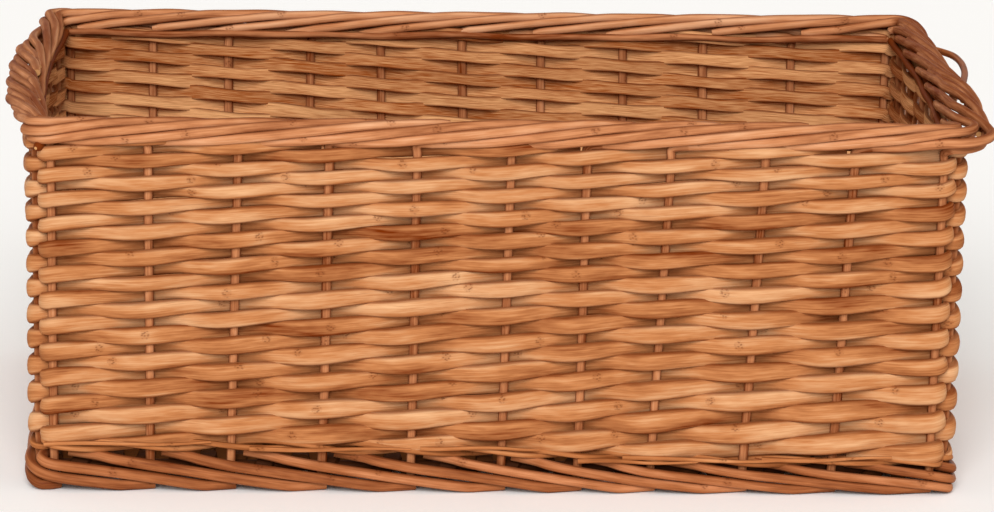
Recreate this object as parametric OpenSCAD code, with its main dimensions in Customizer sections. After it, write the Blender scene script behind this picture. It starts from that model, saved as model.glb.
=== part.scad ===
// Rectangular willow basket with a woven base, upright stakes, split-willow
// weaving, a rolled rod border, a plaited foot and a bow rod at each end.
// X runs along the length, -Y is the front, Z = 0 is the surface it stands on.

/* [Basket] */
// Length between the end stakes of the two end walls, at the rim
wall_length = 584; // [440:1:760]
// Width between the stakes of the two long walls, at the rim
wall_width = 350; // [260:1:460]
// Height from the foot to the top of the border
height = 242; // [180:1:320]
// How far each wall leans outwards from the foot to the rim
lean = 2.5; // [0:0.1:6]
// How far the rim of each end wall bows outwards at its middle
end_bow = 5; // [0:0.5:12]

/* [Stakes] */
// Thickness of an upright stake
stake_d = 5.6; // [4:0.1:7]
// Thickness of a stake where it is laid down into the border
border_d = 6.6; // [5:0.1:7.5]
// Stakes on each long side
side_stakes = 11; // [8:1:13]
// Stakes on each end
end_stakes = 7; // [5:1:9]

/* [Weaving] */
// Thickness of a split weaver, from its bark side to its flat side
weaver_t = 3.4; // [2:0.1:5]
// Rows of weaving between the wale and the border
rows = 24; // [16:1:30]
// How much taller the bottom row is than the top row
row_taper = 1.45; // [1:0.05:1.8]
// Gap between two rows
row_gap = 0.5; // [0.3:0.1:1.5]
// Thickness of a wale rod
wale_d = 3.5; // [2.5:0.1:4.5]

/* [Foot] */
// Thickness of a foot rod
foot_d = 6.4; // [4.5:0.1:7.5]
// Depth to which the underside of the foot is worn away
foot_wear = 0.3; // [0.2:0.05:0.6]

/* [Base] */
// Thickness of a base stick
stick_d = 7; // [5:0.1:9]
// Thickness of a base weaver
base_t = 3; // [2:0.1:4]
// Distance between two rows of base weaving
base_pitch = 9.6; // [7:0.1:13]

/* [End bows] */
// Thickness of the bow rod
bow_d = 4.6; // [3.5:0.1:6]
// Widest gap between the border and the bow rod
bow_gap = 3; // [0:0.5:12]

/* [Hidden] */
// Rods are woven with this much room round each stake
clear = 0.25;
// Rods that lie beside each other without weaving are this far apart
side_gap = 0.3;
// Rods begun side by side round the base, each one climbing to the border
starts = 14;
stake_total = 2 * (side_stakes + end_stakes);
// Stakes from the start of one rod to the start of the next
start_step = stake_total / starts;
// Distance of a weaver's middle from the line of stakes where it crosses one
swing = stake_d / 2 + weaver_t / 2 + clear;
// Each corner has two stakes, this far in from the sharp corner on either wall
corner = 2 * swing;
// Part of the swing that a weaver still has a quarter of the way to the next stake
quarter = 0.72;
// Reach, along each wall, of the middle point of a bend round a corner stake,
// as a share of the swing
around = 0.94;
// Length of a rod's end past the stake that holds it
tail = 5;
// Length by which a rod's straight runs lap into each other at a corner
joint_lap = 0.4;

// Foot: three rods lie one above another at any place round the basket. Each
// comes out past foot_begin and is turned in past foot_tuck, counted in stakes
// from the one it starts behind.
rod_sides = 6;
foot_begin = 0.45;
foot_span = 2.4;
foot_tuck = 2.6;
foot_finish = 3.05;
foot_step = foot_d + 0.8;
foot_low = foot_d / 2 * cos(180 / rod_sides) - foot_wear;
foot_high = foot_low + foot_step * foot_span;
foot_h = foot_high + foot_d / 2;
foot_out = stake_d / 2 + foot_d / 2 + side_gap;
// Share of foot_out that a foot rod has reached a fifth of a stake on
foot_rising = 0.6;
// Extra room between a foot rod's straight runs and the stakes of a corner
corner_room = 0.8;
// Wale
wale_z = foot_h + side_gap + wale_d;
wale_swing = stake_d / 2 + wale_d / 2 + clear;
// Border: four strands lie round one centre line at any place
strand_r = border_d * 0.775;
border_h = 2 * strand_r + border_d;
// Place along the border, in stakes, where a strand is trimmed off inside
strand_end = 3.5;
// A stake bends this far below the border, and is laid down this far along it,
// counted in stakes
bend_room = 2;
laid_down = 0.12;
// Share of a turn that is moved out of each corner
corner_ease = 0.29;
border_z = height - border_h / 2;
// Weaving between wale and border
weave_low = wale_z + wale_d + side_gap;
weave_high = height - border_h - side_gap;
row_mean = (weave_high - weave_low) / rows;
row_first = row_mean * 2 * row_taper / (1 + row_taper);
row_last = row_mean * 2 / (1 + row_taper);
// Base
stick_r = stick_d / 2;
base_swing = stick_r + base_t / 2 + clear;
// The stakes stop above the tucked ends of the foot rods
stake_low = foot_low + foot_d / 2 + 2 * side_gap;
base_z = stake_low + base_swing + base_t / 2 + clear;
base_out = -stake_d / 2 - side_gap;

// Plan of the basket. A place round it is counted in stakes, u, beginning at
// the left end of the front wall and going right, so u = 3.5 is half way
// between the fourth and the fifth stake. out is the distance outwards from
// the line of stakes at the rim.
half_x = wall_length / 2 - corner;
half_y = wall_width / 2 - corner;
function wrap(u) = u - stake_total * floor(u / stake_total);
function turned(v) = v >= side_stakes + end_stakes;
function half_turn(v) = turned(v) ? v - side_stakes - end_stakes : v;
function on_corner(c, angle) = c + corner * [cos(angle), sin(angle)];
function half_plan(v, hx, hy) =
  v <= side_stakes - 1 ? [-hx + 2 * hx * v / (side_stakes - 1), -hy - corner] :
  v < side_stakes ? on_corner([hx, -hy], 90 * (v - side_stakes)) :
  v <= side_stakes + end_stakes - 1 ?
    [hx + corner, -hy + 2 * hy * (v - side_stakes) / (end_stakes - 1)] :
  on_corner([hx, hy], 90 * (v - side_stakes - end_stakes + 1));
function half_way(v) =
  v <= side_stakes - 1 ? -90 :
  v < side_stakes ? 90 * (v - side_stakes) :
  v <= side_stakes + end_stakes - 1 ? 0 :
  90 * (v - side_stakes - end_stakes + 1);
// Outward direction at u, as an angle
function facing(u) = half_way(half_turn(wrap(u))) + (turned(wrap(u)) ? 180 : 0);
// Point in plan at u: the walls are inset by the lean, then out is added
function plan(u, inset, out) =
  let (sign = turned(wrap(u)) ? -1 : 1)
  sign * half_plan(half_turn(wrap(u)), half_x + inset, half_y + inset)
    + out * [cos(facing(u)), sin(facing(u))];
// The walls lean: 0 at the rim, minus the full lean at the foot
function inset_at(z) = lean * (z / height - 1);
// The rim bows outwards along the two end walls
function bow_at(u) =
  let (w = half_turn(wrap(u)) - side_stakes)
  w > 0 && w < end_stakes - 1 ? end_bow * sin(180 * w / (end_stakes - 1)) : 0;
function place(u, out, z) = let (p = plan(u, inset_at(z), out)) [p.x, p.y, z];

// A round rod swept along points, each with its own radius, with a flat side
// below. Rings that would reach below the floor are worn flat on it.
function unit(v) = v / norm(v);
function heading(p, i) = unit(p[min(i + 1, len(p) - 1)] - p[max(i - 1, 0)]);
function square_to(t) = unit(cross(t, abs(t.z) > 0.7 ? [1, 0, 0] : [0, 0, 1]));
function ring_starts(p) = [
  for (i = 0, n = square_to(heading(p, 0)); i < len(p);
       i = i + 1, n = i < len(p) ? unit(n - (n * heading(p, i)) * heading(p, i)) : n) n];
function on_floor(q) = [q.x, q.y, max(q.z, 0)];
module rod(points, radii, sides) {
  starts_at = ring_starts(points);
  count = len(points);
  skin = [
    for (i = [0 : count - 1])
      let (n = starts_at[i], b = cross(heading(points, i), n))
      for (k = [0 : sides - 1])
        let (a = 360 * (k + 0.5) / sides - 90)
        on_floor(points[i] + radii[i] * (cos(a) * n + sin(a) * b))];
  sides_of_rod = [
    for (i = [0 : count - 2], k = [0 : sides - 1])
      let (a = i * sides + k, b = i * sides + (k + 1) % sides)
      each [[a, a + sides, b + sides], [a, b + sides, b]]];
  first_end = [for (k = [0 : sides - 1]) k];
  last_end = [for (k = [sides - 1 : -1 : 0]) (count - 1) * sides + k];
  polyhedron(skin, concat(sides_of_rod, [first_end], [last_end]));
}

// A stake stands between foot and rim, then is laid down to the right: under,
// outside, over and inside the next stakes, one quarter turn for each.
// The two stakes of a corner are close together, so there the turns are spread
// over the stretches on either side of it.
function eased(x) = abs(x) >= 1 ? 0 : 2 * corner_ease * (abs(x) <= 0.5 ? -x : x < 0 ? x + 1 : x - 1);
function corner_shift(u) =
  let (v = half_turn(wrap(u)))
  eased(v + 0.5) + eased(v + 0.5 - side_stakes) + eased(v + 0.5 - side_stakes - end_stakes);
function strand(u, j) =
  let (turn = 90 * (u + corner_shift(u) - j) - 90,
       p = place(u, bow_at(u) + strand_r * cos(turn), border_z))
  [p.x, p.y, border_z + strand_r * sin(turn)];
function stake_path(j) = concat(
  [place(j, 0, stake_low), place(j, 0, border_z - border_h / 2 - bend_room)],
  [strand(j + laid_down, j)],
  [for (step = [0.5 : 0.25 : strand_end])
     if (step % 0.5 == 0 || corner_shift(j + step) != 0) strand(j + step, j)]);
module stake(j) {
  path = stake_path(j);
  rod(path, [for (i = [0 : len(path) - 1]) i < 2 ? stake_d / 2 : border_d / 2], rod_sides);
}
module stakes(first, count) {
  color("peru")
    for (j = [first : first + count - 1]) stake(j);
}
module front_stakes() { stakes(0, side_stakes); }
module right_stakes() { stakes(side_stakes, end_stakes); }
module back_stakes() { stakes(side_stakes + end_stakes, side_stakes); }
module left_stakes() { stakes(2 * side_stakes + end_stakes, end_stakes); }

// A foot rod comes out between two stakes, slopes down over the next ones and
// is turned in under the basket.
function foot_point(j, v) =
  let (fall = min(v - foot_begin, foot_span) * foot_step,
       bend = facing(j + v) % 90 == 0 ? 0 : corner_room,
       tucked = max(v - foot_tuck, 0) / (foot_finish - foot_tuck) * foot_out,
       out = v == foot_begin ? 0 : v < 1 ? foot_rising * foot_out + 2 * bend : foot_out - tucked + bend)
  place(j + v, out, foot_high - fall);
function foot_path(j) = [
  for (v = [foot_begin, foot_begin + 0.2, 1, 1.5, 2, 2.5, foot_finish - 0.2, foot_finish])
    foot_point(j, v)];
module foot_rods(first, count) {
  color("sienna")
    for (j = [first : first + count - 1]) {
      path = foot_path(j);
      rod(path, [for (p = path) foot_d / 2], rod_sides);
    }
}
module front_foot() { foot_rods(0, side_stakes); }
module right_foot() { foot_rods(side_stakes, end_stakes); }
module back_foot() { foot_rods(side_stakes + end_stakes, side_stakes); }
module left_foot() { foot_rods(2 * side_stakes + end_stakes, end_stakes); }

// Weaving is worked out wall by wall, in a frame that has the wall in front:
// x runs along it in the working direction and y points into the basket. h is
// half the wall's run of stakes, d its distance from the middle, n the number
// of its stakes and a the swing. side is 1 where the rod passes outside. The
// third number of a point is 1 where a rod of a twisted pair lies above the
// other, and -1 where it lies below.
function stake_x(i, h, n) = -h + 2 * h * i / (n - 1);
// The rod bends round whichever of the two corner stakes it passes outside
function lead_in(h, d, side, a) =
  let (m = around * a)
  side > 0 ? [[-h - m, -d - m, -0.5]] :
  [[-h - corner - m, -d + corner - m, 0.5], [-h - corner, -d + a, 1]];
function lead_out(h, d, side, a) =
  let (m = around * a)
  side > 0 ? [[h + m, -d - m, 0.5]] :
  [[h + corner, -d + a, -1], [h + corner + m, -d + corner - m, -0.5]];
// Middle line of a rod along one wall, from stake i0 to stake i1. Where the
// rod begins or ends on this wall, begins and ends are where, from the stake.
function run(h, d, n, i0, i1, first_side, a, begins, ends) =
  let (w = h / (n - 1) / 2)
  [for (i = [i0 : i1])
     let (side = (i - i0) % 2 == 0 ? first_side : -first_side,
          x = stake_x(i, h, n),
          y = -d - side * a,
          near = -d - side * quarter * a,
          starting = i == i0 && !is_undef(begins),
          stopping = i == i1 && !is_undef(ends),
          before = starting ? [[x + begins, y, 0]] :
            i == 0 ? lead_in(h, d, side, a) : [[x - w, near, -side]],
          after = stopping ? [[x + ends, y, 0]] :
            i == n - 1 ? lead_out(h, d, side, a) : [[x + w, near, side]],
          cut = (starting && begins > 0) || (stopping && ends < 0),
          over = side > 0 ? 0 : i == 0 ? 1 : i == n - 1 ? -1 : 0)
     each concat(before, cut ? [] : [[x, y, over]], after)];
// Outline of a strip of thickness t along a middle line
function left_of(p, i, t) =
  let (a = unit(p[min(i + 1, len(p) - 1)] - p[min(i, len(p) - 2)]),
       b = unit(p[max(i, 1)] - p[max(i - 1, 0)]),
       m = unit(a + b))
  p[i] + t / 2 / (m * a) * [-m.y, m.x];
function strip(p, t) = concat(
  [for (i = [0 : len(p) - 1]) left_of(p, i, -t)],
  [for (i = [len(p) - 1 : -1 : 0]) left_of(p, i, t)]);
function lengthened(p, by) = concat(
  [p[0] - by * unit(p[1] - p[0])],
  [for (i = [1 : len(p) - 2]) p[i]],
  [p[len(p) - 1] + by * unit(p[len(p) - 1] - p[len(p) - 2])]);

// First stake of each wall, counted on round the basket
function wall_first(k) =
  floor(k / 4) * stake_total
    + [0, side_stakes, side_stakes + end_stakes, 2 * side_stakes + end_stakes][k % 4];
function wall_count(k) = k % 2 == 0 ? side_stakes : end_stakes;
function wall_half(k, inset) = (k % 2 == 0 ? half_x : half_y) + inset;
function wall_away(k, inset) = (k % 2 == 0 ? half_y : half_x) + corner + inset;
function on_wall(k, u0, u1) = u1 >= wall_first(k) && u0 < wall_first(k) + wall_count(k);
// The middle line on wall k of a rod that goes from stake u0 to stake u1
function wall_line(q, k, u0, u1, a, begins, ends, inset) =
  let (first = wall_first(k),
       n = wall_count(k),
       i0 = max(u0 - first, 0),
       i1 = min(u1 - first, n - 1),
       first_side = (first + i0 + q) % 2 == 0 ? 1 : -1)
  run(wall_half(k, inset), wall_away(k, inset), n, i0, i1, first_side, a,
      u0 >= first ? begins : undef, u1 < first + n ? ends : undef);
// How far round the basket stake u is, in stakes, but measured evenly by
// length between the middles of two corners
function wall_of(u) =
  let (lap = floor(u / stake_total), v = u - lap * stake_total)
  4 * lap + (v < side_stakes ? 0 : v < side_stakes + end_stakes ? 1 :
             v < 2 * side_stakes + end_stakes ? 2 : 3);
function way(u) =
  let (k = wall_of(u), n = wall_count(k), h = wall_half(k, 0), x = stake_x(u - wall_first(k), h, n))
  wall_first(k) - 0.5 + n * (x + h + corner / 2) / (2 * h + corner);
// First stake after a place, and last stake before one, that rod q passes inside
function inside_from(w, q) =
  [for (u = [max(floor(w) - 1, 0) : ceil(w) + 3]) if ((u + q) % 2 == 1 && way(u) >= w) u][0];
function inside_to(w, q) =
  [for (u = [ceil(w) + 1 : -1 : floor(w) - 3]) if ((u + q) % 2 == 1 && way(u) <= w) u][0];

// Height of a rod's middle after it has climbed this many rows, and its width
function row_z(r) =
  weave_low + row_first * (r + 0.5) - (row_first - row_last) * r * (r + 1) / 2 / rows;
function row_h(r) = row_first - (row_first - row_last) * r / rows - row_gap;

// Part of a rod that lies on wall k, as a strip that rises along the wall
module wall_run(q, k, u0, u1, begins, ends) {
  n = wall_count(k);
  first = wall_first(k);
  low = (first - 0.5) / start_step - q;
  high = (first + n - 0.5) / start_step - q;
  z0 = row_z(low);
  z1 = row_z(high);
  inset = inset_at((z0 + z1) / 2);
  slope = atan((z1 - z0) / (2 * wall_half(k, inset) + corner));
  line = wall_line(q, k, u0, u1, swing, begins, ends, inset);
  level = [for (p = lengthened(line, joint_lap)) [p.x / cos(slope), p.y]];
  rotate([0, 0, 90 * k])
    translate([0, 0, (z0 + z1) / 2])
      rotate([0, -slope, 0])
        linear_extrude(row_h(min(high, rows - 1)), center = true)
          polygon(strip(level, weaver_t));
}
// Rod q is started at its own place round the base. Two rods, joined butt to
// tip behind a stake, make its whole climb from the wale to the border.
module weaver(q, half) {
  bottom = q * start_step;
  top = bottom + (rows - 1) * start_step;
  middle = inside_from((bottom + top) / 2, q);
  u0 = half == 0 ? inside_from(bottom, q) : middle;
  u1 = half == 0 ? middle : inside_to(top, q);
  begins = half == 0 ? -tail : joint_lap + 2 * side_gap;
  ends = half == 0 ? -joint_lap : tail;
  color("burlywood")
    union() {
      for (k = [0 : 15])
        if (on_wall(k, u0, u1)) wall_run(q, k, u0, u1, begins, ends);
    }
}

// Two thin wale rods are twisted round each other all the way round, just
// above the foot: the rod that goes in passes over the rod that comes out.
function turn_wall(k, p) = let (c = cos(90 * k), s = sin(90 * k)) [c * p.x - s * p.y, s * p.x + c * p.y];
function wale_line(q) =
  let (inset = inset_at(wale_z),
       u0 = inside_from(wall_first(q == 0 ? 3 : 1) + 1, q),
       u1 = u0 + stake_total)
  [for (k = [0 : 7])
     if (on_wall(k, u0, u1))
       let (line = wall_line(q, k, u0, u1, wale_swing, 1, -1, inset),
            skip = u0 < wall_first(k) ? 1 : 0)
       for (i = [skip : len(line) - 1])
         let (p = line[i], g = turn_wall(k, p))
         [g.x, g.y, wale_z + p.z * (wale_d / 2 + clear / 2)]];
module wale(q) {
  path = wale_line(q);
  color("tan") rod(path, [for (p = path) wale_d / 2], 5);
}

// The base has sticks along its length. Rods go across them and back, over
// and under in turn, and round the outer stick at each end of a row.
base_x = wall_length / 2 + inset_at(base_z) + base_out;
stick_y = wall_width / 2 + inset_at(base_z) + base_out - base_t - clear - stick_r;
base_rows = 2 * floor(base_x / base_pitch);
rows_each = 4;
function stick_at(i) = -stick_y + 2 * stick_y * i / (end_stakes - 1);
module base_sticks() {
  color("peru")
    for (i = [0 : end_stakes - 1])
      translate([-base_x, stick_at(i), base_z])
        rotate([0, 90, 0]) cylinder(h = 2 * base_x, d = stick_d, $fn = 48);
}
// A row seen from the end of the basket: over and under the sticks. It is
// level for a third of the way between two sticks.
function across(side) =
  let (last = end_stakes - 1, w = stick_y / last / 3)
  [for (i = [0 : last])
     let (s = i % 2 == 0 ? side : -side)
     each [
       [stick_at(i) - (i == 0 ? 0 : w), s * base_swing],
       [stick_at(i) + (i == last ? 0 : w), s * base_swing]]];
module base_row(r) {
  translate([(r - base_rows / 2) * base_pitch + row_gap / 2, 0, base_z])
    rotate([90, 0, 90])
      linear_extrude(base_pitch - row_gap) polygon(strip(across(r % 2 == 0 ? 1 : -1), base_t));
}
// Half turn round an outer stick, from row r to the next, slim by a hair so
// that no face of it lies in a face of the rows
module base_turn(r) {
  far = r % 2 == 0 ? 1 : -1;
  slim = 0.1;
  reach = stick_d + base_t;
  translate([(r - base_rows / 2) * base_pitch + row_gap / 2 + slim, far * stick_y, base_z])
    rotate([90, 0, 90])
      linear_extrude(2 * (base_pitch - slim) - row_gap)
        intersection() {
          difference() {
            circle(base_swing + base_t / 2 - slim, $fn = 32);
            circle(base_swing - base_t / 2 + slim, $fn = 32);
          }
          translate([far > 0 ? -joint_lap : joint_lap - reach, -reach]) square([reach, 2 * reach]);
        }
}
module base_weaving() {
  color("wheat")
    for (first = [0 : rows_each : base_rows - 1]) {
      last = min(first + rows_each, base_rows) - 1;
      union() {
        for (r = [first : last]) base_row(r);
        for (r = [first : last - 1]) if (r < last) base_turn(r);
      }
    }
}

// One bent rod stands out from the border of each end wall
bow_from = 0.4;
bow_to = 0.8 * (end_stakes - 1);
bow_rise = 2;
bow_points = 12;
// The gap is widest beyond the middle of the rod
bow_skew = 1.6;
// Depth to which the rod's first and last ends are pressed in between strands
bow_tuck_first = 1.3;
bow_tuck_last = 1.9;
function bow_path(first) = [
  for (i = [0 : bow_points])
    let (f = i / bow_points,
         u = first + bow_from + (bow_to - bow_from) * f,
         close = border_h / 2 + side_gap + bow_d / 2,
         gap = i == 0 ? -bow_tuck_first : i == bow_points ? -bow_tuck_last : bow_gap * sin(180 * pow(f, bow_skew)),
         out = bow_at(u) + close + gap)
    place(u, out, border_z + bow_rise)];
module bow_rod(first) {
  path = bow_path(first);
  color("saddlebrown") rod(path, [for (p = path) bow_d / 2], 8);
}
module right_bow_rod() { bow_rod(side_stakes); }
module left_bow_rod() { bow_rod(2 * side_stakes + end_stakes); }

// Lower weavers are numbered from 1 to 14 and upper ones from 15 to 28
function numbered(name, n) = str(name, "_", n < 10 ? "0" : "", n);
front_stakes();
right_stakes();
back_stakes();
left_stakes();
front_foot();
right_foot();
back_foot();
left_foot();
base_sticks();
base_weaving();
wale(0);  // lower_wale
wale(1);  // upper_wale
right_bow_rod();
left_bow_rod();
for (n = [1 : 2 * starts])
  weaver((n - 1) % starts, n > starts ? 1 : 0);
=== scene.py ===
import math

import bpy
import numpy as np
from mathutils import Matrix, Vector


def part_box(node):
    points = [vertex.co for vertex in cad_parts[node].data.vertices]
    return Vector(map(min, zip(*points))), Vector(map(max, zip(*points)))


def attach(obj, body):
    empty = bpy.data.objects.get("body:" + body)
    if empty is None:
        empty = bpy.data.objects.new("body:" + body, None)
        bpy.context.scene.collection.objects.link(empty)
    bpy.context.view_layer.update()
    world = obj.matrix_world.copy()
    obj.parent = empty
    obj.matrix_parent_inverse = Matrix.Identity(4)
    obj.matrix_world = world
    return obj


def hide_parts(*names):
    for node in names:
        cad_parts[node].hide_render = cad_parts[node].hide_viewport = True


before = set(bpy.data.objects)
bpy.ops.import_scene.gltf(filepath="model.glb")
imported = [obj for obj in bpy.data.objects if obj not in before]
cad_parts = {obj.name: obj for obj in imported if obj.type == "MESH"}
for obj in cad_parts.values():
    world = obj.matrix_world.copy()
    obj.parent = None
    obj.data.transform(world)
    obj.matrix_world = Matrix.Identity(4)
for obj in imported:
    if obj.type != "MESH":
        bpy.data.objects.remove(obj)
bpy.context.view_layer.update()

# ---------------------------------------------------------------------------
# The view: a long lens a little above the rim and left of the middle, even
# studio light from above and in front, and a plain pale floor that goes white
# in the distance.
# ---------------------------------------------------------------------------
lens = bpy.data.cameras.new("long_lens")
lens.sensor_width = 36
lens.lens = 200.93
camera = bpy.data.objects.new("long_lens", lens)
bpy.context.collection.objects.link(camera)
camera.location = (-0.1474, -3.5876, 0.9844)
look_down, look_right, roll = math.radians(13.648), math.radians(2.472), math.radians(1.0)
camera.rotation_euler = (Matrix.Rotation(-look_right, 3, "Z") @ Matrix.Rotation(math.pi / 2 - look_down, 3, "X")
                         @ Matrix.Rotation(roll, 3, "Z")).to_euler()
lens.clip_end = 60
bpy.context.scene.camera = camera
bpy.context.scene.view_settings.view_transform = "Standard"


def linear(code):
    """An sRGB hex colour as linear red, green, blue and alpha."""
    parts = [int(code[i:i + 2], 16) / 255 for i in (1, 3, 5)]
    return [p / 12.92 if p <= 0.04045 else ((p + 0.055) / 1.055) ** 2.4 for p in parts] + [1.0]


def add(tree, kind, inputs=None, **settings):
    """Adds a node with its settings; an input is a value or another node's output."""
    made = tree.nodes.new(kind)
    for key, value in settings.items():
        setattr(made, key, value)
    for key, value in (inputs or {}).items():
        if isinstance(value, bpy.types.NodeSocket):
            tree.links.new(value, made.inputs[key])
        else:
            made.inputs[key].default_value = value
    return made


world = bpy.data.worlds.new("studio")
bpy.context.scene.world = world
world.use_nodes = True
tree = world.node_tree
tree.nodes.clear()
rays = add(tree, "ShaderNodeLightPath")
seen = add(tree, "ShaderNodeMath", {0: rays.outputs["Is Camera Ray"], 1: rays.outputs["Is Glossy Ray"]},
           operation="MAXIMUM")
seen = add(tree, "ShaderNodeMath", {0: seen.outputs[0], 1: rays.outputs["Is Transmission Ray"]},
           operation="MAXIMUM")
soft = add(tree, "ShaderNodeBackground", {"Color": linear("#fffaf2"), "Strength": 0.47})
white = add(tree, "ShaderNodeBackground", {"Color": (1, 1, 1, 1), "Strength": 1.0})
both = add(tree, "ShaderNodeMixShader", {0: seen.outputs[0], 1: soft.outputs[0], 2: white.outputs[0]})
add(tree, "ShaderNodeOutputWorld", {"Surface": both.outputs[0]})

for name, strength, spread, turn in (
    ("light_front", 2.6, 34, (math.radians(57), 0, math.radians(-6))),
    ("light_above", 0.12, 60, (math.radians(12), 0, math.radians(60))),
):
    lamp = bpy.data.lights.new(name, "SUN")
    lamp.energy = strength
    lamp.angle = math.radians(spread)
    lamp_object = bpy.data.objects.new(name, lamp)
    lamp_object.rotation_euler = turn
    bpy.context.collection.objects.link(lamp_object)

floor_mesh = bpy.data.meshes.new("floor")
floor_mesh.from_pydata([(-30, -30, 0), (30, -30, 0), (30, 30, 0), (-30, 30, 0)], [], [(0, 1, 2, 3)])
floor = bpy.data.objects.new("floor", floor_mesh)
bpy.context.collection.objects.link(floor)
paper = bpy.data.materials.new("matt_white_paper")
paper.use_nodes = True
paper.node_tree.nodes["Principled BSDF"].inputs["Base Color"].default_value = linear("#ffffff")
paper.node_tree.nodes["Principled BSDF"].inputs["Roughness"].default_value = 0.9
floor_mesh.materials.append(paper)

# ---------------------------------------------------------------------------
# Base sticks: seven thick peeled willow sticks, side by side along the whole
# length. They are cut to length first, and everything is woven on them.
# ---------------------------------------------------------------------------
chance = np.random.default_rng(41)
MM = 0.001


def unit(v):
    return v / np.maximum(np.linalg.norm(v, axis=-1, keepdims=True), 1e-9)


def waver(count, step, reach, length):
    """A slow random wave along a rod: how far it strays, over about this length."""
    s = np.arange(count) * step
    return reach * sum(np.sin(2 * np.pi * s / (length * k) + chance.uniform(0, 6.28)) / 1.7
                       for k in (1.0, 0.61))


def eased_through(points, per_span):
    """A smooth line through a few points, with this many rings for each span."""
    p = np.array(points, float)
    p = np.vstack([2 * p[0] - p[1], p, 2 * p[-1] - p[-2]])
    t = np.linspace(0, 1, per_span, endpoint=False)[:, None]
    rows = []
    for a, b, c, d in zip(p[:-3], p[1:-2], p[2:-1], p[3:]):
        rows.append(0.5 * (2 * b + (c - a) * t + (2 * a - 5 * b + 4 * c - d) * t ** 2
                           + (3 * b - a - 3 * c + d) * t ** 3))
    return np.vstack(rows + [p[-2:-1]])


# A rod is swept along a chain of points. Each point carries the rod's half
# width, the direction that its skin faces, the way along it and a tone.
def rod_tree():
    tree = bpy.data.node_groups.new("willow_rod", "GeometryNodeTree")
    face = tree.interface
    face.new_socket("Geometry", in_out="INPUT", socket_type="NodeSocketGeometry")
    for label, kind in (("Sides", "NodeSocketInt"), ("Split", "NodeSocketFloat"),
                        ("Thickness share", "NodeSocketFloat"), ("Willow", "NodeSocketMaterial")):
        face.new_socket(label, in_out="INPUT", socket_type=kind)
    face.new_socket("Geometry", in_out="OUTPUT", socket_type="NodeSocketGeometry")
    given = add(tree, "NodeGroupInput")

    def named(label, kind="FLOAT"):
        return add(tree, "GeometryNodeInputNamedAttribute", {"Name": label}, data_type=kind).outputs[0]

    def store(geometry, label, value, kind="FLOAT"):
        return add(tree, "GeometryNodeStoreNamedAttribute",
                   {"Geometry": geometry, "Name": label, "Value": value}, data_type=kind).outputs[0]

    line = add(tree, "GeometryNodeMeshToCurve", {"Mesh": given.outputs["Geometry"]}).outputs[0]
    faced = add(tree, "GeometryNodeSetCurveNormal", {"Curve": line}, mode="FREE")
    tree.links.new(named("outward", "FLOAT_VECTOR"), faced.inputs["Normal"])
    line = add(tree, "GeometryNodeSetCurveRadius",
               {"Curve": faced.outputs[0], "Radius": named("half_width")}).outputs[0]
    line = store(line, "way", add(tree, "GeometryNodeInputTangent").outputs[0], "FLOAT_VECTOR")
    # The section is a circle, or a half round with its flat side inwards
    ring = add(tree, "GeometryNodeCurvePrimitiveCircle",
               {"Resolution": given.outputs["Sides"], "Radius": 1.0}).outputs[0]
    at = add(tree, "ShaderNodeSeparateXYZ", {0: add(tree, "GeometryNodeInputPosition").outputs[0]})
    skin = add(tree, "ShaderNodeMath", {0: at.outputs["X"], 1: -0.05}, operation="GREATER_THAN").outputs[0]
    crown = add(tree, "ShaderNodeMath", {0: at.outputs["X"], 1: 0.0}, operation="MAXIMUM").outputs[0]
    crown = add(tree, "ShaderNodeMath", {0: crown, 1: 0.40}, operation="POWER").outputs[0]
    crown = add(tree, "ShaderNodeMath", {0: crown, 1: 2.0, 2: -1.0}, operation="MULTIPLY_ADD").outputs[0]
    crown = add(tree, "ShaderNodeMath", {0: crown, 1: given.outputs["Thickness share"]},
                operation="MULTIPLY").outputs[0]
    depth = add(tree, "ShaderNodeMix", {0: given.outputs["Split"], 2: at.outputs["X"], 3: crown}).outputs[0]
    skin = add(tree, "ShaderNodeMix", {0: given.outputs["Split"], 2: 1.0, 3: skin}).outputs[0]
    ring = store(ring, "skin", skin)
    place = add(tree, "ShaderNodeCombineXYZ", {0: depth, 1: at.outputs["Y"]}).outputs[0]
    ring = add(tree, "GeometryNodeSetPosition", {"Geometry": ring, "Position": place}).outputs[0]
    ring = store(ring, "across", add(tree, "GeometryNodeInputPosition").outputs[0], "FLOAT_VECTOR")
    rod = add(tree, "GeometryNodeCurveToMesh", {"Curve": line, "Profile Curve": ring, "Fill Caps": True,
                                                "Scale": named("half_width")}).outputs[0]
    scaled = add(tree, "ShaderNodeVectorMath", {0: named("across", "FLOAT_VECTOR")}, operation="SCALE")
    tree.links.new(named("half_width"), scaled.inputs["Scale"])
    parts = add(tree, "ShaderNodeSeparateXYZ", {0: scaled.outputs[0]})
    spot = add(tree, "ShaderNodeCombineXYZ", {0: parts.outputs[0], 1: parts.outputs[1], 2: named("along")})
    rod = store(rod, "rod_place", spot.outputs[0], "FLOAT_VECTOR")
    rod = add(tree, "GeometryNodeSetShadeSmooth", {"Geometry": rod, "Shade Smooth": True}).outputs[0]
    turn = add(tree, "GeometryNodeInputMeshEdgeAngle").outputs[0]
    sharp = add(tree, "ShaderNodeMath", {0: turn, 1: math.radians(48)}, operation="GREATER_THAN").outputs[0]
    rod = add(tree, "GeometryNodeSetShadeSmooth",
              {"Geometry": rod, "Selection": sharp, "Shade Smooth": False}, domain="EDGE").outputs[0]
    rod = add(tree, "GeometryNodeRealizeInstances", {"Geometry": rod}).outputs[0]
    rod = add(tree, "GeometryNodeSetMaterial", {"Geometry": rod, "Material": given.outputs["Willow"]}).outputs[0]
    add(tree, "NodeGroupOutput", {"Geometry": rod})
    return tree


rods = rod_tree()


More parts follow.
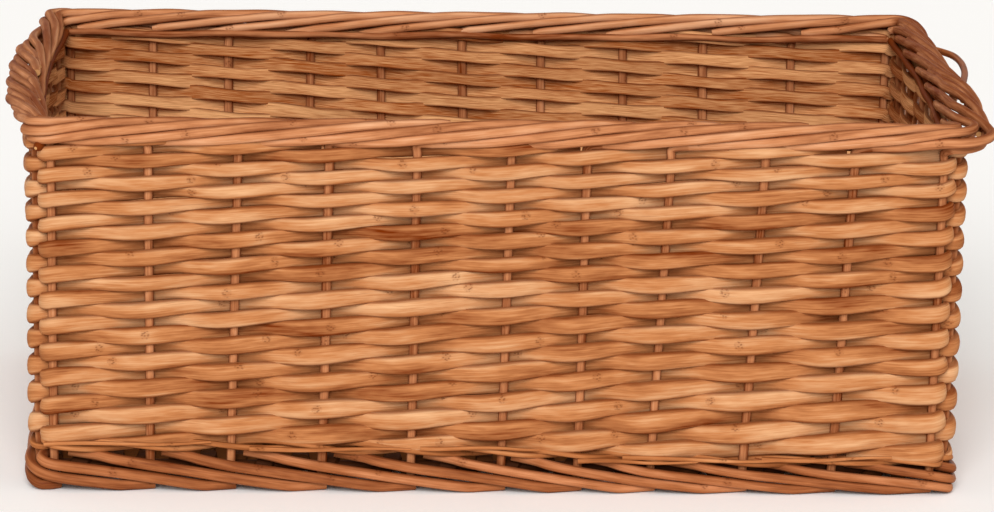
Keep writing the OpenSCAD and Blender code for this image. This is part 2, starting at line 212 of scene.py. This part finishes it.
def piece(name, chains, willow, slot, *nodes, split=0.0, share=0.42, sides=12):
    """Makes one piece of rods. A chain is its points, the way its skin faces, its
    half width and its tone, all in millimetres."""
    points, edges, outward, half, along, tone = [], [], [], [], [], []
    for line, faces, width, shade in chains:
        line = np.array(line, float)
        count = len(line)
        way = unit(np.gradient(line, axis=0))
        faces = np.broadcast_to(faces, line.shape)
        faces = unit(faces - (faces * way).sum(1, keepdims=True) * way)
        start = sum(len(p) for p in points)
        edges += [(start + i, start + i + 1) for i in range(count - 1)]
        points.append(line * MM)
        outward.append(faces)
        half.append(np.broadcast_to(width, count) * MM)
        steps = np.linalg.norm(np.diff(line, axis=0), axis=1) * MM
        along.append(np.concatenate([[0], np.cumsum(steps)]) + chance.uniform(0, 3))
        tone.append(np.broadcast_to(shade, count))
    points = np.vstack(points)
    mesh = bpy.data.meshes.new(name)
    mesh.from_pydata(points.tolist(), edges, [])
    for label, kind, values in (("outward", "FLOAT_VECTOR", np.vstack(outward)),
                                ("half_width", "FLOAT", np.concatenate(half)),
                                ("along", "FLOAT", np.concatenate(along)),
                                ("tone", "FLOAT", np.concatenate(tone))):
        layer = mesh.attributes.new(label, kind, "POINT")
        layer.data.foreach_set("vector" if kind == "FLOAT_VECTOR" else "value",
                               values.astype(np.float32).ravel())
    made = bpy.data.objects.new(name, mesh)
    bpy.context.collection.objects.link(made)
    grown = made.modifiers.new("grown", "NODES")
    grown.node_group = rods
    given = {s.name: s.identifier for s in rods.interface.items_tree if s.in_out == "INPUT"}
    grown[given["Sides"]] = sides
    grown[given["Split"]] = split
    grown[given["Thickness share"]] = share
    grown[given["Willow"]] = willow
    shape = bpy.data.meshes.new_from_object(made.evaluated_get(bpy.context.evaluated_depsgraph_get()))
    made.modifiers.remove(grown)
    made.data = shape
    shape.name = name
    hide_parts(*nodes)
    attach(made, "root")
    return made


# Buff willow: boiled with its bark on and then peeled, so tannin has stained
# the wood tan to red brown. The skin is smooth with a satin sheen, fine dark
# hairlines and small leaf scars; a split face is paler, fibrous and matt.
def willow(name, pale, mid, deep, split_pale, split_deep, rough, cut_end="#c8935f"):
    made = bpy.data.materials.new(name)
    made.use_nodes = True
    tree = made.node_tree
    tree.nodes.clear()

    def attribute(label, output):
        return add(tree, "ShaderNodeAttribute", attribute_name=label).outputs[output]

    def noise(scale, detail, distort=0.0):
        """Noise with its own scale each way: across the rod and along it, per metre."""
        stretched = add(tree, "ShaderNodeVectorMath", {0: where, 1: scale}, operation="MULTIPLY")
        return add(tree, "ShaderNodeTexNoise", {"Vector": stretched.outputs[0], "Scale": 1.0, "Detail": detail,
                                                "Distortion": distort}).outputs["Fac"]

    def ramp(value, stops):
        made = add(tree, "ShaderNodeValToRGB", {0: value})
        colours = made.color_ramp.elements
        while len(colours) < len(stops):
            colours.new(0.5)
        for element, (position, colour) in zip(colours, stops):
            element.position = position
            element.color = linear(colour) if isinstance(colour, str) else (colour,) * 3 + (1,)
        return made.outputs[0]

    def mixed(factor, a, b, blend="MIX"):
        made = add(tree, "ShaderNodeMix", {0: factor}, data_type="RGBA", blend_type=blend)
        for key, value in ((6, a), (7, b)):
            if isinstance(value, bpy.types.NodeSocket):
                tree.links.new(value, made.inputs[key])
            else:
                made.inputs[key].default_value = linear(value)
        return made.outputs[2]

    def sums(*values, operation="ADD"):
        total = values[0]
        for value in values[1:]:
            total = add(tree, "ShaderNodeMath", {0: total, 1: value}, operation=operation).outputs[0]
        return total

    where = attribute("rod_place", "Vector")
    tone = attribute("tone", "Fac")
    stain = noise((90, 90, 12), 3.0)           # stained patches about 80 mm long
    mottle = noise((260, 260, 60), 2.0)        # clouds 4 mm wide and 17 mm long
    streak = noise((1000, 1000, 40), 3.0, 0.3)  # streaks 1 mm wide and 25 mm long
    fibre = noise((3200, 3200, 60), 2.0)       # fibres 0.3 mm wide
    shade = sums(sums(tone, 0.22, operation="MULTIPLY"), sums(stain, 0.85, operation="MULTIPLY"),
                 sums(mottle, 0.30, operation="MULTIPLY"), sums(streak, 0.40, operation="MULTIPLY"), -0.38)
    skin = ramp(shade, ((0.18, deep), (0.50, mid), (0.82, pale)))
    # Leaf scars: a bud stood every few centimetres, and left a patch 6 mm across
    # of small dark dots, each about 0.8 mm wide and longer along the rod
    spread = add(tree, "ShaderNodeSeparateXYZ", {0: where})
    flat = add(tree, "ShaderNodeCombineXYZ", {0: spread.outputs["Y"], 1: spread.outputs["Z"]}).outputs[0]
    buds = add(tree, "ShaderNodeTexVoronoi", {"Vector": flat, "Scale": 36.0}, voronoi_dimensions="2D")
    chosen = add(tree, "ShaderNodeSeparateColor", {0: buds.outputs["Color"]}).outputs[0]
    chosen = sums(chosen, 0.80, operation="GREATER_THAN")
    bud = sums(ramp(buds.outputs["Distance"], ((0.07, 1.0), (0.13, 0.0))), chosen, operation="MULTIPLY")
    drawn = add(tree, "ShaderNodeVectorMath", {0: flat, 1: (1.0, 0.6, 1.0)}, operation="MULTIPLY").outputs[0]
    dots = add(tree, "ShaderNodeTexVoronoi", {"Vector": drawn, "Scale": 700.0}, voronoi_dimensions="2D")
    scar = sums(bud, ramp(dots.outputs["Distance"], ((0.18, 1.0), (0.36, 0.0))), operation="MULTIPLY")
    hairline = ramp(noise((2600, 2600, 12), 1.0, 0.2), ((0.66, 0.0), (0.70, 1.0)))
    skin = mixed(sums(hairline, 0.35, operation="MULTIPLY"), skin, deep)
    skin = mixed(sums(bud, 0.18, operation="MULTIPLY"), skin, deep)
    skin = mixed(sums(scar, 0.5, operation="MULTIPLY"), skin, "#5a2a10")
    face = ramp(sums(sums(tone, 0.3, operation="MULTIPLY"), sums(fibre, 0.95, operation="MULTIPLY"),
                     sums(stain, 0.35, operation="MULTIPLY"), -0.30),
                ((0.25, split_deep), (0.7, split_pale)))
    colour = mixed(attribute("skin", "Fac"), face, skin)
    # Painted shade: a rod's edges, where it meets its neighbours, are painted towards the deep colour
    across = add(tree, "ShaderNodeSeparateXYZ", {0: attribute("across", "Vector")}).outputs["Y"]
    edge = add(tree, "ShaderNodeMath", {0: across}, operation="ABSOLUTE").outputs[0]
    colour = mixed(sums(ramp(edge, ((0.70, 0.0), (0.97, 1.0))), 0.68, operation="MULTIPLY"), colour, deep)
    # Cut ends: pale wood with a small dark pith
    flat = add(tree, "ShaderNodeNewGeometry").outputs["True Normal"]
    facing = add(tree, "ShaderNodeVectorMath", {0: flat, 1: attribute("way", "Vector")},
                 operation="DOT_PRODUCT").outputs["Value"]
    cut = add(tree, "ShaderNodeMath", {0: facing}, operation="ABSOLUTE").outputs[0]
    cut = sums(cut, 0.88, operation="GREATER_THAN")
    colour = mixed(cut, colour, cut_end)
    height = sums(sums(fibre, 0.35, operation="MULTIPLY"), sums(streak, 0.4, operation="MULTIPLY"),
                  sums(scar, 0.8, operation="MULTIPLY"))
    bump = add(tree, "ShaderNodeBump", {"Strength": 0.45, "Distance": 0.0004, "Height": height})
    matt = add(tree, "ShaderNodeMapRange", {0: attribute("skin", "Fac"), 3: min(rough + 0.2, 0.85), 4: rough})
    surface = add(tree, "ShaderNodeBsdfPrincipled", {"Base Color": colour, "Roughness": matt.outputs[0],
                                                     "Normal": bump.outputs[0], "IOR": 1.45,
                                                     "Specular IOR Level": 0.03})
    add(tree, "ShaderNodeOutputMaterial", {"Surface": surface.outputs[0]})
    return made


stick_willow = willow("peeled_willow_stick", "#b57a4a", "#8a5429", "#40200e", "#c98f5f", "#9a6238", 0.5,
                      "#7a4c28")
low, high = (np.array(corner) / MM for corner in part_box("base_sticks"))
stick_r = (high[2] - low[2]) / 2
stick_count = 7
stick_y = high[1] - stick_r
base_z = (high[2] + low[2]) / 2
stick_rows = np.linspace(-stick_y, stick_y, stick_count)
chains = []
for y in stick_rows:
    x = np.linspace(low[0], high[0], 60)
    line = np.stack([x, y + waver(60, 10, 0.5, 240), np.full(60, base_z)], 1)
    # Painted shade: the two outer sticks, by the front and back walls, are painted much darker
    tone_with_painted_shade = -1.5 if abs(y) > stick_y - 1 else 0.5
    chains.append((line, (0, 0, 1), stick_r * (1 + waver(60, 10, 0.02, 120)), tone_with_painted_shade))
piece("base_sticks", chains, stick_willow, "base_stick_willow", "base_sticks", sides=16)

# ---------------------------------------------------------------------------
# Base weaving: split willow goes across the sticks and back, over and under in
# turn, and round the outer stick at the end of each row.
# ---------------------------------------------------------------------------
base_willow = willow("split_willow_of_the_base", "#c08550", "#9a6132", "#40200e", "#a97142", "#7d4b24", 0.55,
                     "#5a3319")
low, high = (np.array(corner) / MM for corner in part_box("base_weaving"))
base_t = 3.0
base_swing = stick_r + base_t / 2 + 0.25
base_rows = int(round((high[0] - low[0]) / 9.6))
base_pitch = 9.86              # a little over the solid's 9.6, so that the rows reach the end walls
rows_each = 4
chains = []
for first in range(0, base_rows, rows_each):
    line, faces = [], []
    last = min(first + rows_each, base_rows)
    for row in range(first, last):
        x = (row - base_rows / 2 + 0.5) * base_pitch
        side = 1 if row % 2 == 0 else -1
        t = np.linspace(0, stick_count - 1, 8 * (stick_count - 1) + 1)
        z = side * base_swing * np.cos(np.pi * t)
        y = np.interp(t, range(stick_count), stick_rows)
        if row % 2:
            y, z = y[::-1], z[::-1]
        for a, b in zip(y, z):
            line.append((x, a, base_z + b))
            faces.append((0, 0, side))
        if row + 1 < last:
            end = 1 if row % 2 == 0 else -1
            for turn in np.linspace(0, math.pi, 9)[1:-1]:
                around = (math.sin(turn), math.cos(turn) * (1 if row % 2 == 0 else -1))
                line.append((x + base_pitch * turn / math.pi, end * (stick_y + base_swing * around[0]),
                             base_z + base_swing * around[1]))
                faces.append((0, end * around[0], around[1]))
    line = np.array(line)
    line[:, 0] += waver(len(line), 7, 0.3, 90)
    # Random tone, and painted shade: the weaving is painted darker over its last 70 mm towards the front and back walls
    tone_with_painted_shade = 0.3 + chance.uniform(0, 0.5) - 2.6 * np.clip((np.abs(line[:, 1]) - stick_y + 70) / 66, 0, 1) ** 1.3
    chains.append((line, np.array(faces, float), base_pitch * 0.57, tone_with_painted_shade))
piece("base_weaving", chains, base_willow, "base_willow", "base_weaving", split=1.0, share=0.33, sides=12)

# ---------------------------------------------------------------------------
# Stakes: upright rods, eleven on each long side and seven on each end, with
# two close together at each corner. At the rim each is laid down to the right
# and goes under, outside, over and inside the next ones, so that four of them
# lie round each other as a rope. Their ends are trimmed with shears.
# ---------------------------------------------------------------------------
side_stakes, end_stakes = 11, 7
half_lap = side_stakes + end_stakes
stake_total = 2 * half_lap
height, lean, corner = 242.0, 2.5, 9.5
half_x, half_y = 584 / 2 - corner, 350 / 2 - corner
stake_d, border_d = 5.6, 6.6
# How far the stakes of the front and back stray from even spacing, in order
# from the left, at the rim and for the front also at the foot
even = np.linspace(-half_x, half_x, side_stakes)
front_rim = even + [0, 5, 5.5, 7, 5.5, 8.5, 0, -3, 0.5, 1, 0]
front_foot = even + [0, 5, 0, 2, 3, 4.5, -2.5, -12, -9, -8, 0]
back_rim = even + [0, 0.5, -4, -3.5, -12, -12.5, -14, -14, -15, -10, 0]
back_foot = even + [0, 0, -3, -4, -8, -6, -10, -8, -8, -5, 0]
end_bow = {0: 5.0, 1: 8.0}     # how far the rim bows out, at the right end and at the left
# The front's rim isn't level: by place, how far it is above or below its height
rim_tilt = (0, 10, 11, 17, 35, 36), (2.2, -2.6, -2.6, 0, 0, 2.2)


def plan(u, z, out):
    """Places round the basket: u counts stakes from the front left, going right."""
    u, z, out = np.broadcast_arrays(np.asarray(u, float), z, out)
    v = np.mod(u, stake_total)
    back = v >= half_lap
    v = v - half_lap * back
    sign = np.where(back, -1.0, 1.0)
    inset = lean * (z / height - 1)
    up = np.clip(z / height, 0, 1)
    on_side = v <= side_stakes - 1
    front = np.interp(v, range(side_stakes), front_foot) * (1 - up) + np.interp(v, range(side_stakes), front_rim) * up
    rear = -(np.interp(side_stakes - 1 - v, range(side_stakes), back_foot) * (1 - up)
             + np.interp(side_stakes - 1 - v, range(side_stakes), back_rim) * up)
    turn = np.clip(v - side_stakes + 1, 0, 1) + np.clip(v - half_lap + 1, 0, 1) - 1
    angle = turn * np.pi / 2
    first_bend = (v > side_stakes - 1) & (v < side_stakes)
    w = np.clip(v - side_stakes, 0, end_stakes - 1) / (end_stakes - 1)
    x = np.where(on_side, np.where(back, rear, front) * (1 + inset / half_x), half_x + inset)
    y = np.where(on_side | first_bend, -half_y - inset, (half_y + inset) * (2 * w - 1))
    rise = np.clip((z / height - 0.3) / 0.62, 0, 1)
    bow = np.where(back, end_bow[1], end_bow[0]) * np.sin(np.pi * w) * rise * rise * (3 - 2 * rise)
    reach = corner + out + bow
    tilt = np.interp(np.mod(u, stake_total), rim_tilt[0], rim_tilt[1])
    return np.stack([sign * (x + reach * np.cos(angle)), sign * (y + reach * np.sin(angle)), z + tilt * up], -1)


def outward(u):
    v = np.mod(np.asarray(u, float), stake_total)
    back = v >= half_lap
    v = v - half_lap * back
    angle = (np.clip(v - side_stakes + 1, 0, 1) + np.clip(v - half_lap + 1, 0, 1) - 1) * np.pi / 2
    sign = np.where(back, -1.0, 1.0)
    return np.stack([sign * np.cos(angle), sign * np.sin(angle), 0 * v], -1)


stake_willow = willow("peeled_willow_stake", "#dfa981", "#c18055", "#70300c", "#d9a679", "#a56c45", 0.6)
strand_r = 6.2
strand_d = 6.9
stake_r = 1.08 * stake_d / 2
strand_turn = 60               # degrees that a strand turns from one stake to the next
stake_painted_shade = -0.1              # painted shade: between the rows the stakes are painted darker than in the border
border_h = 2 * border_d * 0.775 + border_d
border_z = height - border_h / 2
corner_places = np.array([side_stakes - 0.5, half_lap - 0.5, half_lap + side_stakes - 0.5, stake_total - 0.5])


def from_corner(u):
    """How far a place is from each corner, in stakes."""
    return np.mod(np.asarray(u, float)[..., None] - corner_places + half_lap, stake_total) - half_lap


def corner_shift(u):
    x = from_corner(u)
    eased = np.where(np.abs(x) >= 1, 0, np.where(np.abs(x) <= 0.5, -x, np.where(x < 0, x + 1, x - 1)))
    return (0.58 * eased).sum(-1)


def wrapped(u):
    """How far the strands of an end lie round its bow rod: 0 off it, 1 round it. Those
    of the right end leave it free over the farther half."""
    v = np.mod(np.asarray(u, float), stake_total)
    w = (v - half_lap - side_stakes) / (end_stakes - 1)
    left = np.clip((w - 0.05) / 0.3, 0, 1) * np.clip((1.0 - w) / 0.3, 0, 1)
    w = (v - side_stakes) / (end_stakes - 1)
    right = np.clip((w + 0.22) / 0.2, 0, 1) * np.clip((0.55 - w) / 0.2, 0, 1)
    on = np.maximum(left, right)
    return on * on * (3 - 2 * on)


def splayed(u):
    """How far the right end's border leans outwards, in millimetres."""
    w = (np.mod(np.asarray(u, float), stake_total) - side_stakes) / (end_stakes - 1)
    return 4.5 * np.clip((w + 0.3) / 0.3, 0, 1) * np.clip((1.3 - w) / 0.3, 0, 1)


def border_place(u, turn, r):
    """A place in the border: turn is the angle round its middle line, 0 outside."""
    flare = (np.exp(-(from_corner(u) / 0.8) ** 2) * (3.5, 3.5, 3.0, 0.5)).sum(-1)
    aside, rising = np.cos(np.radians(turn)), np.sin(np.radians(turn))
    wide = wrapped(u)
    out = aside * (r + (8.0 * wide + splayed(u)) * (aside > 0)) + flare
    place = plan(u, np.full(np.shape(u), border_z), out)
    place[..., 2] = border_z + 0.6 + rising * (r + 0.8 * wide)
    return place


def painted_border_shade(u):
    """Painted light and shade: the border is painted lighter along the sides than over the ends, whose strands face up,
    away from the light from the front.
    """
    places = [-0.7, -0.2, side_stakes - 0.9, side_stakes - 0.3, half_lap - 0.8, half_lap - 0.2,
              half_lap + side_stakes - 0.9, half_lap + side_stakes - 0.3, stake_total - 0.7, stake_total - 0.2]
    return np.interp(np.mod(u + 0.2, stake_total) - 0.2, places, [0.0, 0.4, 0.4, -0.2, -0.2, 0.7, 0.7, 0.0, 0.0, 0.4])


def stake_chains(first, count, on_top, ends):
    """The stakes of one wall. on_top is the share of strands that are trimmed on top,
    and ends says how far the others go, in stakes."""
    chains = []
    for j in range(first, first + count):
        thick = chance.uniform(0.94, 1.06)
        up = np.append(np.linspace(6.3, border_z - 16, 7), border_z - border_h / 2 + 1.4)
        sway = chance.uniform(-0.6, 0.6)
        upright = plan(j + sway * 0.01 * np.sin(up / 40), up, 0.0)
        # Some strands are trimmed on top; the others go on inside and under, and
        # a few of those come out below the border and are trimmed there
        rounds_corner = j + 5 >= first + count
        last = chance.uniform(3.25, 3.6) if chance.uniform() < on_top and not rounds_corner else chance.choice(ends)
        if rounds_corner:
            last = min(last, 5.2)
        if np.abs(from_corner(j + last)).min() < 1.2:
            last = min(last, 4.9)
        s = np.linspace(0.18, last, int((last - 0.18) * 11))
        u = j + s
        under = np.clip((s - 4.95) / 0.9, 0, 1)
        turn = strand_turn * (np.minimum(s, 4.95) + corner_shift(u)) - 90 + 110 * under
        laid = border_place(u, turn, strand_r + 3.8 * under ** 3 + waver(len(u), 6, 0.25, 80))
        line = np.vstack([eased_through(np.vstack([upright, laid[:1]]), 8)[:-1], laid])
        bent = len(line) - len(laid)
        width = np.concatenate([np.full(bent, stake_r), strand_d / 2 * (1 - 0.04 * s)])
        width[bent - 8:bent] = np.linspace(stake_r, strand_d / 2, 8)
        width = width * thick * (1 + waver(len(line), 5, 0.02, 70))
        width[-1] *= 0.72
        way = np.vstack([np.broadcast_to(outward(j), (bent, 3)), outward(u)])
        tone = np.concatenate([np.full(bent, stake_painted_shade), painted_border_shade(u) + chance.uniform(-0.25, 0.25)])
        tone[bent - 8:bent] = np.linspace(stake_painted_shade, tone[-1], 8)
        chains.append((line, way, width, tone))
    return chains


for name, first, count, on_top, ends in (
    ("front_stakes", 0, side_stakes, 0.45, (4.9, 5.6, 5.7)),
    ("right_stakes", side_stakes, end_stakes, 0.0, (4.9, 5.1, 5.3)),
    ("back_stakes", half_lap, side_stakes, 0.0, (5.0, 5.2, 5.3)),
    ("left_stakes", half_lap + side_stakes, end_stakes, 0.15, (4.9, 5.1, 5.3)),
):
    chains = stake_chains(first, count, on_top, ends)
    # A thin rod lies along inside, under the strands, where the stakes bend over
    u = np.linspace(first, first + count - 1, 8 * count)
    line = plan(u, border_z - 5.8 + waver(len(u), 7, 0.8, 150), -7.0)
    # Its tone is the border's less 1.2: painted shade under the strands
    chains.append((line, outward(u), 2.4 * (1 + waver(len(u), 7, 0.12, 160)), painted_border_shade(u) - 1.2))
    if name in ("left_stakes", "right_stakes"):
        # Where the strands go round the bow rod, thinner rods are pieced in between
        for j in first + np.array([-0.45, 0.55, 1.45, 2.5, 3.5]):
            s = np.linspace(0.8, 3.6, 34)
            line = border_place(j + s, strand_turn * s - 90, strand_r - 0.4)
            chains.append((line, outward(j + s), 2.6 - 0.35 * np.abs(s - 2.2),
                           painted_border_shade(j + s) + chance.uniform(-0.3, 0.2)))
    if name == "left_stakes":
        # A dark knot stands out below the border at the left front corner
        f = np.linspace(0, 1, 8)
        line = plan(stake_total - 0.32, border_z - 9.5 - 1.5 * f, 1 + 8 * f)
        chains.append((line, (0, 0, 1), 3.3 * np.sqrt(1 - 0.9 * np.maximum(f - 0.4, 0) ** 2 / 0.36), -2.6))
    piece(name, chains, stake_willow, "stake_willow", name, sides=14)

# ---------------------------------------------------------------------------
# Foot: a rod comes out between two stakes, slopes down over the next ones and
# is turned in under the basket. Three lie one above another at any place.
# ---------------------------------------------------------------------------
foot_willow = willow("peeled_willow_of_the_foot", "#cf8b60", "#a3623a", "#5e260c", "#b5805a", "#7f4d2e", 0.4, "#6b3820")
foot_d = 6.4
foot_begin, foot_span, foot_tuck, foot_finish = 0.45, 2.4, 2.6, 3.05
foot_step = foot_d + 0.8
foot_low = foot_d / 2 * math.cos(math.pi / 6) - 0.3
foot_high = foot_low + foot_step * foot_span
foot_out = stake_d / 2 + foot_d / 2 + 0.3
foot_fat = 1.12                # the rods are a little thicker than the solid's, and lie close
foot_lift = 2.0                # each rod comes out a little higher than the solid's


def sag(u):
    """Towards the right end of the front the foot and wale lie lower: 0 to 1."""
    return np.interp(np.mod(u, stake_total), [0, 3, 8, 10, 16], [0, 0, 1, 1, 0])


def foot_chains(first, count):
    chains = []
    for j in range(first, first + count):
        v = np.array([foot_begin - 0.3, foot_begin, foot_begin + 0.2, 1, 1.5, 2, 2.5, foot_finish - 0.2, foot_finish])
        fall = np.minimum(v - foot_begin, foot_span) * foot_step
        tucked = np.maximum(v - foot_tuck, 0) / (foot_finish - foot_tuck) * foot_out
        bend = 0.8 * (np.abs(from_corner(j + v)).min(-1) < 0.5)
        out = np.where(v < 1, 0.6 * foot_out + 2 * bend, foot_out - tucked + bend)
        out[:2] = -3.0, -0.5
        middle = plan(j + v, np.zeros(len(v)), out)
        sunk = 1 - 0.24 * sag(j + v)
        middle[:, 2] = foot_high * sunk + foot_lift * (1 - fall / fall.max()) ** 1.5 - fall * sunk + chance.uniform(-0.4, 0.4) * np.sin(np.pi * (v - foot_begin) / foot_span)
        line = eased_through(middle, 6)
        thick = chance.uniform(0.95, 1.04)
        width = foot_d / 2 * foot_fat * thick * (1 + waver(len(line), 4, 0.02, 60))
        line[:, 2] = np.maximum(line[:, 2], width + 0.02)
        width = width * (1 - 0.12 * sag(j + 1.5))
        ways = eased_through(outward(j + v), 6)
        chains.append((line, ways, width, chance.uniform(0, 1)))
    return chains


for name, first, count in (("front_foot", 0, side_stakes), ("right_foot", side_stakes, end_stakes),
                           ("back_foot", half_lap, side_stakes), ("left_foot", half_lap + side_stakes, end_stakes)):
    piece(name, foot_chains(first, count), foot_willow, "foot_willow", name, sides=12)

# ---------------------------------------------------------------------------
# Wale: two thin rods twisted round each other all the way round above the
# foot. They hold the stakes in place before the weaving starts.
# ---------------------------------------------------------------------------
wale_willow = willow("peeled_willow_of_the_wale", "#d49462", "#ae6c3e", "#6a3210", "#b5805a", "#7f4d2e", 0.42, "#8a5430")
wale_d = 3.5
wale_z = foot_high + foot_d / 2 + 0.3 + wale_d
wale_lift = 2.2                # the weaving has drawn the wale up a little
wale_swing = stake_d / 2 + wale_d / 2 + 0.25


for q, name in enumerate(("lower_wale", "upper_wale")):
    u = np.arange(0, stake_total - 0.3, 1 / 12) + (half_lap + side_stakes if q == 0 else side_stakes) + 1.2
    beat = np.pi * (u + q)
    out = wale_swing * np.cos(beat)
    z = wale_z + wale_lift - 8.0 * sag(u) - (wale_d / 2 + 0.2) * np.sin(beat) + waver(len(u), 4.6, 0.9, 210)
    thick = 1.15 * wale_d / 2 * (1 + waver(len(u), 4.6, 0.08, 190))
    chains = [(plan(u, z, out), outward(u), thick, 0.35 + 0.3 * q)]
    # Thin tips that have worked loose, each lying outside over one or two stakes
    for first, span, low in (((-0.25, 2.0, 1.2), (4.1, 1.4, 2.4), (6.6, 2.2, 0.4)) if q else
                             ((2.2, 1.8, -1.2), (6.0, 1.5, -2.6), (8.2, 1.4, 1.8))):
        f = np.linspace(0, 1, 14)
        place = first + span * f
        line = plan(place, wale_z + wale_lift - 8.0 * sag(place) + low + 2.2 * f + 0.7 * np.sin(7 * f + first),
                    wale_swing + wale_d / 2 + 1.2 - 1.8 * (1 - f) ** 2 - 1.2 * f ** 3)
        chains.append((line, outward(place), 1.7 - 0.85 * f, 0.6))
    piece(name, chains, wale_willow, "wale_willow", name, sides=10)

# ---------------------------------------------------------------------------
# Weaving: willow split in half, flat side in. Fourteen climbs are begun side by
# side, each rising from the wale to the border in front of one stake and
# behind the next. Each climb is two rods, joined behind a stake.
# ---------------------------------------------------------------------------
split_willow = willow("split_buff_willow", "#dcab7e", "#b9794a", "#6c2700", "#efb47c", "#964812", 0.55)
starts, rows = 14, 24
start_step = stake_total / starts
weaver_t, row_taper, row_gap = 3.4, 1.45, 0.5
weaver_swing = stake_d / 2 + weaver_t / 2 + 0.25
weave_low = wale_z + wale_d + 0.3
weave_high = height - border_h - 0.3
row_mean = (weave_high - weave_low) / rows
row_first = row_mean * 2 * row_taper / (1 + row_taper)
row_last = row_mean * 2 / (1 + row_taper)


def row_z(r):
    return weave_low + row_first * (r + 0.5) - (row_first - row_last) * r * (r + 1) / 2 / rows


def row_h(r):
    return row_first - (row_first - row_last) * r / rows


undulations = [(chance.uniform(0.16, 0.42), chance.uniform(0.006, 0.02), chance.uniform(0, 6.28)) for _ in range(5)]


def undulation(u, z):
    """Rows aren't level: neighbouring ones stray together, most in mid-wall."""
    # A whole number of waves goes round, so that all rows stray alike at a place
    around = 2 * np.pi * u / stake_total
    stray = sum(np.sin(round(a * stake_total / np.pi) * around + b * z * 2 + c) for a, b, c in undulations) * 0.55
    return stray * np.clip((z - weave_low) / 25, 0, 1) * np.clip((weave_high - z) / 25, 0, 1)


def held_inside(place, q, way):
    """The nearest stake on from a place, or back from it, that rod q passes inside."""
    u = math.ceil(place) if way > 0 else math.floor(place)
    while (u + q) % 2 != 1:
        u += way
    return u


def behind(u):
    """How far a place is on the back wall, which is seen from its inside: 0 to 1."""
    corners = [0, side_stakes - 1, side_stakes, half_lap - 1]
    return np.interp(np.mod(u, stake_total), corners + [half_lap + c for c in corners] + [stake_total],
                     [0, 0, 0.8, 0.8, 1, 1, 0.9, 0.9, 0])


for q in range(starts):
    bottom = q * start_step
    top = bottom + (rows - 1) * start_step
    middle = held_inside((bottom + top) / 2, q, 1)
    for half in (0, 1):
        # A climb starts one stake before the solid's, with the rod's thin tip,
        # and its last stretch lies close under the border
        u0 = held_inside(bottom, q, 1) - 1.85 if half == 0 else middle + 0.03
        if half == 0 and u0 > bottom - 0.9:
            u0 -= 2
        u1 = middle - 0.01 if half == 0 else held_inside(top, q, -1) + 1.9
        u = np.linspace(u0, u1, int((u1 - u0) * 12))
        beat = np.pi * (u + q)
        swing = np.cos(beat)
        r = u / start_step - q
        tall = row_h(r)
        tip = np.clip(0.35 + 0.65 * (r + 0.85) / 0.75, 0.3, 1)
        over = np.clip(r - (rows - 1), 0, 1)
        z = row_z(np.clip(r, 0, rows - 1)) + (4.0 + 3.2 * behind(u)) * np.clip(r / (rows - 1), 0, 1) ** 3
        z = z - tall / 2 * (1 - tip) + 9.0 * np.minimum(r, 0) * 0.2 + tall / 2 * over
        tip = tip * (1 - 0.8 * over)
        # Seen from a little above, the nearer rod hides the gap to the next
        near = 0.05 - 0.75 * behind(u)
        stretch = 8.0 * sag(u) * np.exp((weave_low - z) / 60)
        z = z - stretch
        # Each stroke rises steeply over its stake and less between the stakes
        z = z + 0.36 * np.sin(2 * beat) + near * swing + undulation(u, z) + waver(len(u), 4.7, 0.3, 150)
        swell = 1.09 + 0.1 * behind(u) + 0.22 * np.maximum(swing, 0) ** 1.3
        swell = swell + np.maximum(-swing, 0) ** 1.5 * (0.22 - 0.42 * behind(u))
        spread = 3.2 * behind(u) * 3 * np.clip(r / (rows - 1), 0, 1) ** 2 / (rows - 1) / tall
        width = tall / 2 * tip * swell * (1.02 + stretch / 50 + 1.8 * spread) * chance.uniform(0.98, 1.04)
        width = width * (1 + waver(len(u), 4.7, 0.055, 290))
        line = plan(u, z, weaver_swing * swing)
        roll = np.radians(waver(len(u), 4.7, 7, 210) + chance.uniform(-4, 4))
        faces = outward(u) * np.cos(roll)[:, None] + np.array([0, 0, 1]) * np.sin(roll)[:, None]
        name = "weaver_%02d" % (q + 1 + half * starts)
        piece(name, [(line, faces, width, chance.uniform(0, 1))], split_willow, "split_willow", name,
              split=1.0, share=0.40, sides=14)

# ---------------------------------------------------------------------------
# Bow rods: at each end one bent rod is held by the border at both ends and
# stands off it between them.
# ---------------------------------------------------------------------------
bow_willow = willow("peeled_willow_bow_rod", "#b87344", "#935228", "#5c2a10", "#b5805a", "#7f4d2e", 0.42)
bow_d, bow_gap, bow_skew, bow_rise = 4.6, 3.0, 1.6, 2.0
bow_points = 12
for name, first in (("right_bow_rod", side_stakes), ("left_bow_rod", half_lap + side_stakes)):
    f = np.arange(bow_points + 1) / bow_points
    u = first + 0.4 + (0.8 * (end_stakes - 1) - 0.4) * f
    bend = 9.0 if name == "right_bow_rod" else bow_gap
    stands_off = bend * np.sin(np.pi * f ** (2 * bow_skew)) - 0.8
    stands_off[0], stands_off[-1] = -4.5, -4.5
    stands_off = stands_off * (1 - wrapped(u)) - 1.6 * wrapped(u) + splayed(u)
    line = plan(u, np.full(len(u), border_z), border_h / 2 + bow_d / 2 + stands_off)
    line[:, 2] = border_z + bow_rise
    line = eased_through(line, 4)
    piece(name, [(line, (0, 0, 1), bow_d / 2, 0.5)], bow_willow, "bow_willow", name, sides=12)
